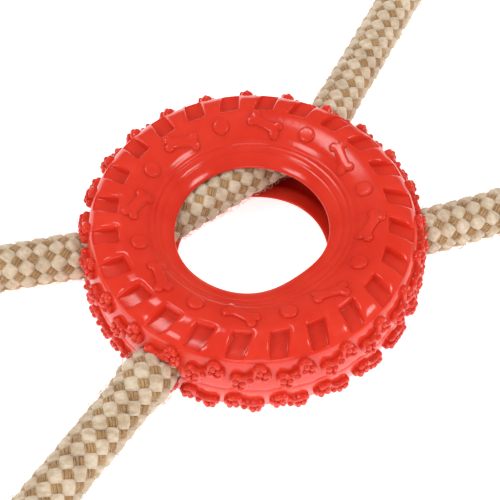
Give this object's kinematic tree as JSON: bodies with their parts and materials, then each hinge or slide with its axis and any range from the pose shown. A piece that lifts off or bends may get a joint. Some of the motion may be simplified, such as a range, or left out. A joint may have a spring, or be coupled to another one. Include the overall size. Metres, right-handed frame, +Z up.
{
  "type": "tyre and rope tug toy",
  "caption": "Hollow rubber tyre with open centre, moulded bones on tread and sidewalls, and two thick plaited ropes through its tread, knotted at their ends.",
  "frame": {"origin": "on the tyre's axis, on the plane that the lower sidewall rests on", "axes": "+Z up along the tyre's axis, through its open centre; +Y towards the back rope tail, +X towards the right rope tail"},
  "size_m": [0.3468, 0.3929, 0.045],
  "materials": {
    "rubber": "glossy smooth moulded thermoplastic rubber, red",
    "rope": "plaited rope, cream cotton strands over tan jute strands, matt and slightly fuzzy"
  },
  "bodies": {
    "tyre": {"tyre_tread": "rubber", "upper_sidewall": "rubber", "lower_sidewall": "rubber", "tread_bones_upper": "rubber", "tread_bones_lower": "rubber", "sidewall_bones_upper": "rubber", "sidewall_bones_lower": "rubber", "sidewall_dots_upper": "rubber", "sidewall_dots_lower": "rubber", "rope_a_inner": "rope", "rope_b_inner": "rope"},
    "left_tail": {"left_rope_tail": "rope", "left_knot": "rope", "left_frayed_end": "rope"},
    "back_tail": {"back_rope_tail": "rope", "back_knot": "rope", "back_frayed_end": "rope"},
    "front_tail": {"front_rope_tail": "rope", "front_knot": "rope", "front_frayed_end": "rope"},
    "right_tail": {"right_rope_tail": "rope", "right_knot": "rope", "right_frayed_end": "rope"}
  },
  "joints": [
    {"name": "left_tail_swing", "type": "hinge", "parent": "tyre", "child": "left_tail", "pos_m": [-0.08075, -0.00983, 0.0225], "axis": [0, 0, 1], "range_deg": [-25, 25]},
    {"name": "back_tail_swing", "type": "hinge", "parent": "tyre", "child": "back_tail", "pos_m": [0.03471, 0.07404, 0.0225], "axis": [0, 0, 1], "range_deg": [-25, 25]},
    {"name": "front_tail_swing", "type": "hinge", "parent": "tyre", "child": "front_tail", "pos_m": [-0.04292, -0.06924, 0.0225], "axis": [0, 0, 1], "range_deg": [-25, 25]},
    {"name": "right_tail_swing", "type": "hinge", "parent": "tyre", "child": "right_tail", "pos_m": [0.08062, 0.01093, 0.0225], "axis": [0, 0, 1], "range_deg": [-25, 25]}
  ]
}
